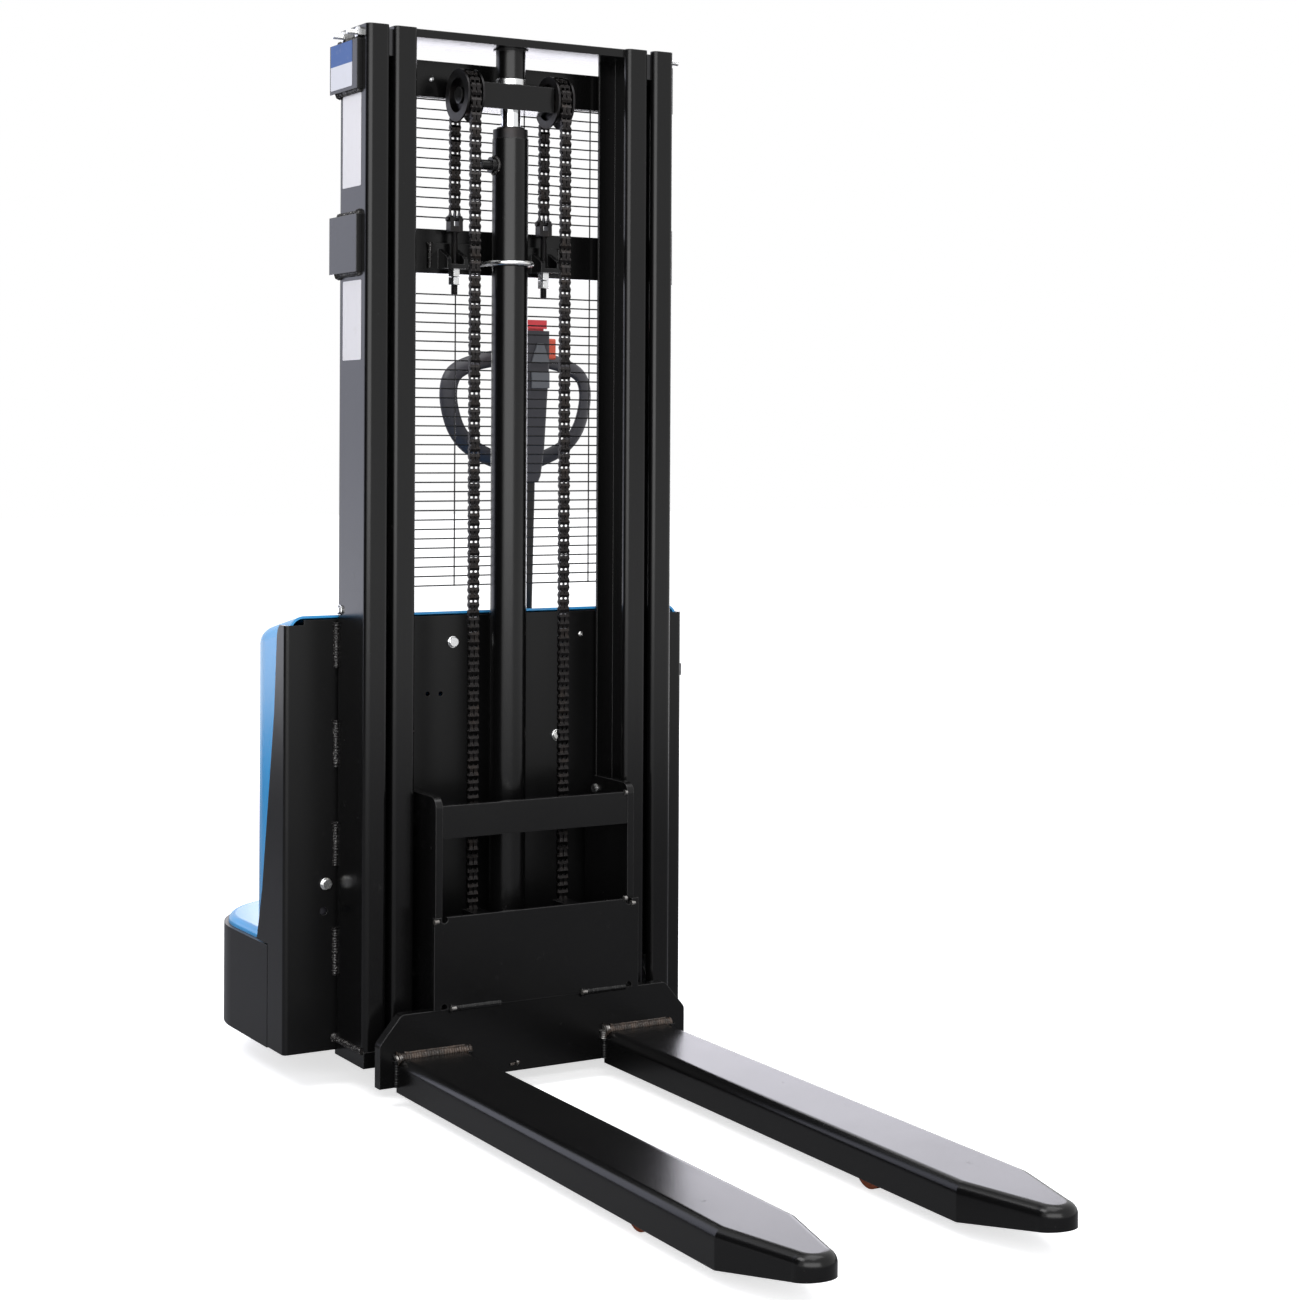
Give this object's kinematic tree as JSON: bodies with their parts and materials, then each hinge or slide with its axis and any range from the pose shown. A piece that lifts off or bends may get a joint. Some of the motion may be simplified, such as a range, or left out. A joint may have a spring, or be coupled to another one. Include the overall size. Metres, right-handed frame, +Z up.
{
  "type": "electric walkie stacker",
  "caption": "Electric walkie stacker with a nested two-stage lift mast, chain-hung fork carriage, wire guards, blue drive cover and upright tiller.",
  "frame": {"origin": "On the floor, midway across the truck and midway between the fork tips and the back of the skirt.", "axes": "+X across the truck to the side with the key switch, +Y from the forks towards the operator, +Z up."},
  "size_m": [0.8003, 1.756, 1.8],
  "materials": {
    "black_paint": "satin",
    "black_sheet": "satin",
    "blackened_steel": "satin",
    "chain_steel": "satin",
    "zinc": "satin",
    "chrome": "polished",
    "bare_steel": "satin",
    "nylon": "matte",
    "blue_plastic": "gloss",
    "black_plastic": "matte",
    "red_plastic": "gloss",
    "orange_plastic": "gloss",
    "grey_plastic": "matte",
    "polyurethane": "satin",
    "aluminium": "satin"
  },
  "bodies": {
    "chassis": {"mast_base_beam": "black_paint", "outer_rail_left": "black_paint", "outer_rail_right": "black_paint", "support_leg_left": "black_paint", "support_leg_right": "black_paint", "upper_cross_member": "black_paint", "middle_cross_member": "black_paint", "body_frame": "black_sheet", "floor_plate": "black_sheet", "lift_cylinder_tube": "black_paint", "cylinder_gland": "blackened_steel", "cylinder_clamp": "zinc", "chain_anchor_bolts": "blackened_steel", "rear_chain_runs": "chain_steel", "mesh_guards": "black_sheet", "zinc_fasteners": "zinc", "slide_pads": "nylon", "upper_cover": "blue_plastic", "rear_lid": "blue_plastic", "rear_skirt": "black_sheet", "battery_pack": "black_plastic", "hydraulic_unit": "blackened_steel", "motor_controller": "aluminium"},
    "inner_mast": {"inner_rail_left": "black_paint", "inner_rail_right": "black_paint", "inner_mast_ties": "black_paint", "piston_rod": "chrome", "rod_sleeve": "black_paint", "pulley_crossbar": "black_paint", "front_chain_runs": "chain_steel", "chain_wraps": "chain_steel"},
    "carriage": {"carriage_cheek_left": "black_paint", "carriage_cheek_right": "black_paint", "carriage_top_bar": "black_paint", "carriage_lower_plate": "black_paint", "fork_plate": "black_paint", "fork_left": "black_paint", "fork_right": "black_paint"},
    "left_pulley": {"chain_pulley_left": "blackened_steel"},
    "right_pulley": {"chain_pulley_right": "blackened_steel"},
    "mast_roller_pair": {"mast_rollers": "bare_steel"},
    "upper_roller_pair": {"upper_carriage_rollers": "bare_steel"},
    "lower_roller_pair": {"lower_carriage_rollers": "bare_steel"},
    "left_load_roller": {"load_roller_left": "polyurethane"},
    "right_load_roller": {"load_roller_right": "polyurethane"},
    "turret": {"drive_turret": "blackened_steel"},
    "drive_wheel": {"drive_wheel_hub": "bare_steel", "drive_wheel_tyre": "polyurethane"},
    "castor_swivel_fork": {"castor_fork": "zinc"},
    "castor_roller": {"castor_wheel": "polyurethane"},
    "tiller": {"tiller_arm": "black_paint", "tiller_head": "black_plastic"},
    "belly_switch": {"belly_button": "red_plastic"},
    "throttle": {"throttle_butterfly": "orange_plastic"},
    "raise_key": {"raise_button": "grey_plastic"},
    "lower_key": {"lower_button": "grey_plastic"},
    "horn_key": {"horn_button": "grey_plastic"},
    "creep_key": {"creep_button": "grey_plastic"},
    "ignition_key": {"key_switch": "black_plastic"},
    "stop_button": {"emergency_stop": "red_plastic"}
  },
  "joints": [
    {"name": "mast_lift", "type": "slide", "parent": "chassis", "child": "inner_mast", "axis": [0, 0, 1], "range_m": [0, 1.2], "deforming": ["rear_chain_runs"]},
    {"name": "carriage_lift", "type": "slide", "parent": "inner_mast", "child": "carriage", "axis": [0, 0, 1], "range_m": [0, 1.2], "deforming": ["front_chain_runs"]},
    {"name": "left_pulley_turn", "type": "hinge", "parent": "inner_mast", "child": "left_pulley", "pos_m": [-0.088, 0.388, 1.701], "axis": [1, 0, 0], "continuous": true},
    {"name": "right_pulley_turn", "type": "hinge", "parent": "inner_mast", "child": "right_pulley", "pos_m": [0.088, 0.388, 1.701], "axis": [1, 0, 0], "continuous": true},
    {"name": "mast_roller_turn", "type": "hinge", "parent": "inner_mast", "child": "mast_roller_pair", "pos_m": [0, 0.388, 0.13], "axis": [1, 0, 0], "continuous": true},
    {"name": "upper_roller_turn", "type": "hinge", "parent": "carriage", "child": "upper_roller_pair", "pos_m": [0, 0.388, 0.45], "axis": [1, 0, 0], "continuous": true},
    {"name": "lower_roller_turn", "type": "hinge", "parent": "carriage", "child": "lower_roller_pair", "pos_m": [0, 0.388, 0.19], "axis": [1, 0, 0], "continuous": true},
    {"name": "left_load_roller_turn", "type": "hinge", "parent": "chassis", "child": "left_load_roller", "pos_m": [-0.1975, -0.467, 0.035], "axis": [1, 0, 0], "continuous": true},
    {"name": "right_load_roller_turn", "type": "hinge", "parent": "chassis", "child": "right_load_roller", "pos_m": [0.1975, -0.467, 0.035], "axis": [1, 0, 0], "continuous": true},
    {"name": "steering", "type": "hinge", "parent": "chassis", "child": "turret", "pos_m": [0.214, 0.758, 0.231], "axis": [0, 0, 1], "range_deg": [-90, 90]},
    {"name": "drive_wheel_turn", "type": "hinge", "parent": "turret", "child": "drive_wheel", "pos_m": [0.214, 0.758, 0.105], "axis": [1, 0, 0], "continuous": true},
    {"name": "castor_swivel", "type": "hinge", "parent": "chassis", "child": "castor_swivel_fork", "pos_m": [-0.23, 0.758, 0.231], "axis": [0, 0, 1], "continuous": true},
    {"name": "castor_wheel_turn", "type": "hinge", "parent": "castor_swivel_fork", "child": "castor_roller", "pos_m": [-0.23, 0.718, 0.0625], "axis": [1, 0, 0], "continuous": true},
    {"name": "tiller_tilt", "type": "hinge", "parent": "turret", "child": "tiller", "pos_m": [0.214, 0.758, 0.345], "axis": [-1, 0, 0], "range_deg": [0, 75], "stiffness_Nm_per_rad": 45, "springref_deg": -34.38},
    {"name": "belly_press", "type": "slide", "parent": "tiller", "child": "belly_switch", "axis": [0, 0, -1], "range_m": [0, 0.004], "stiffness_N_per_m": 1500, "springref_m": -0.002},
    {"name": "throttle_turn", "type": "hinge", "parent": "tiller", "child": "throttle", "pos_m": [0.214, 0.738, 1.282], "axis": [1, 0, 0], "range_deg": [-30, 30], "stiffness_Nm_per_rad": 0.6},
    {"name": "raise_press", "type": "slide", "parent": "tiller", "child": "raise_key", "axis": [0, 1, 0], "range_m": [0, 0.0025], "stiffness_N_per_m": 800, "springref_m": -0.001},
    {"name": "lower_press", "type": "slide", "parent": "tiller", "child": "lower_key", "axis": [0, 1, 0], "range_m": [0, 0.0025], "stiffness_N_per_m": 800, "springref_m": -0.001},
    {"name": "horn_press", "type": "slide", "parent": "tiller", "child": "horn_key", "axis": [0, 1, 0], "range_m": [0, 0.0025], "stiffness_N_per_m": 800, "springref_m": -0.001},
    {"name": "creep_press", "type": "slide", "parent": "tiller", "child": "creep_key", "axis": [0, 1, 0], "range_m": [0, 0.0025], "stiffness_N_per_m": 800, "springref_m": -0.001},
    {"name": "key_turn", "type": "hinge", "parent": "chassis", "child": "ignition_key", "pos_m": [0.392, 0.478, 0.68], "axis": [1, 0, 0], "range_deg": [0, 90]},
    {"name": "stop_press", "type": "slide", "parent": "chassis", "child": "stop_button", "axis": [0, -1, 0], "range_m": [0, 0.005], "stiffness_N_per_m": 1200, "springref_m": -0.002}
  ],
  "couplings": [
    {"joint": "carriage_lift", "follows": "mast_lift", "ratio": 1},
    {"joint": "left_pulley_turn", "follows": "mast_lift", "rad_per_m": -25},
    {"joint": "right_pulley_turn", "follows": "mast_lift", "rad_per_m": -25},
    {"joint": "mast_roller_turn", "follows": "mast_lift", "rad_per_m": -21.882},
    {"joint": "upper_roller_turn", "follows": "mast_lift", "rad_per_m": 22.371},
    {"joint": "lower_roller_turn", "follows": "mast_lift", "rad_per_m": -22.371}
  ]
}
